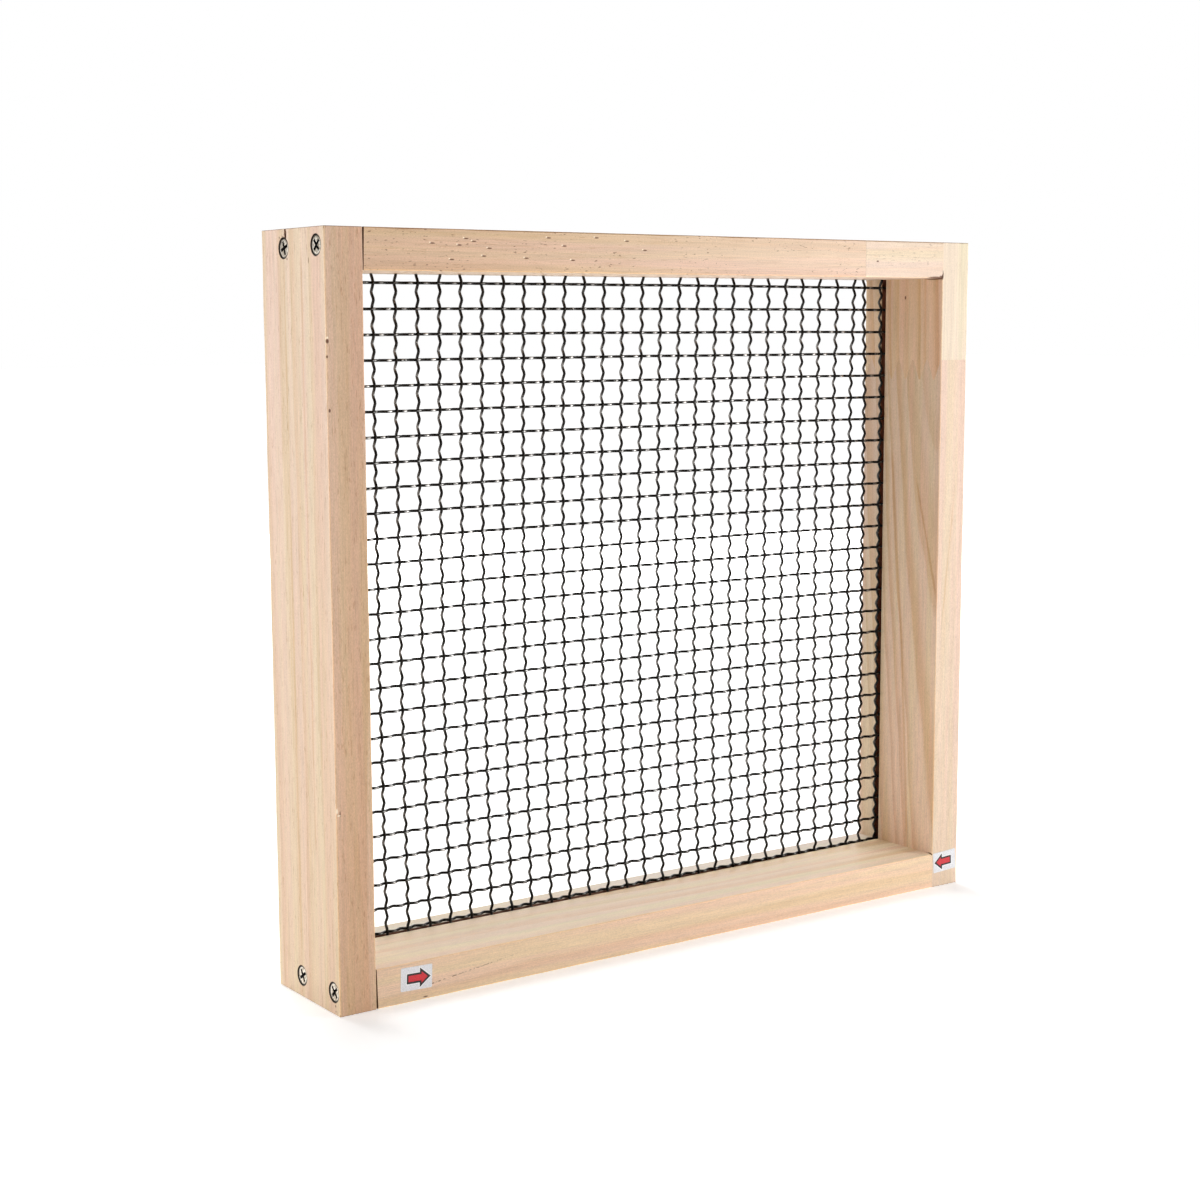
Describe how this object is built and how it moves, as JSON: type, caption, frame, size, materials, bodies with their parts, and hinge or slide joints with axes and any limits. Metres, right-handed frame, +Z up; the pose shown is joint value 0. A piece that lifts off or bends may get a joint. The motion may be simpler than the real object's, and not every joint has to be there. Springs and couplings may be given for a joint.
{
  "type": "sifting frame",
  "caption": "Pine box frame that holds a crimped woven steel wire screen in a sawn groove, stands on its bottom rail, and sifts or strains material in a print, paper or binding workshop.",
  "frame": {"origin": "middle of the footprint, on the floor the frame stands on", "axes": "+X to the right seen from the deep (front) side, +Y to the back, +Z up"},
  "size_m": [0.33, 0.0511, 0.3],
  "materials": {
    "pine": "planed, unfinished pale pine with fine sawn marks",
    "screen_wire": "dark, lightly oiled plain steel wire",
    "screw_steel": "bright zinc plating, dark in the recess",
    "label_paper": "pale printed adhesive label with a red arrow"
  },
  "bodies": {
    "root": {"left_stile": "pine", "right_stile_upper": "pine", "right_stile_lower": "pine", "top_rail_left": "pine", "top_rail_right": "pine", "bottom_rail": "pine", "warp_wires_a": "screen_wire", "warp_wires_b": "screen_wire", "weft_wires_a": "screen_wire", "weft_wires_b": "screen_wire", "screw_left_top_front": "screw_steel", "screw_left_top_rear": "screw_steel", "screw_left_bottom_front": "screw_steel", "screw_left_bottom_rear": "screw_steel", "screw_right_top_front": "screw_steel", "screw_right_top_rear": "screw_steel", "screw_right_bottom_front": "screw_steel", "screw_right_bottom_rear": "screw_steel", "label_left": "label_paper", "label_right": "label_paper"}
  },
  "joints": []
}
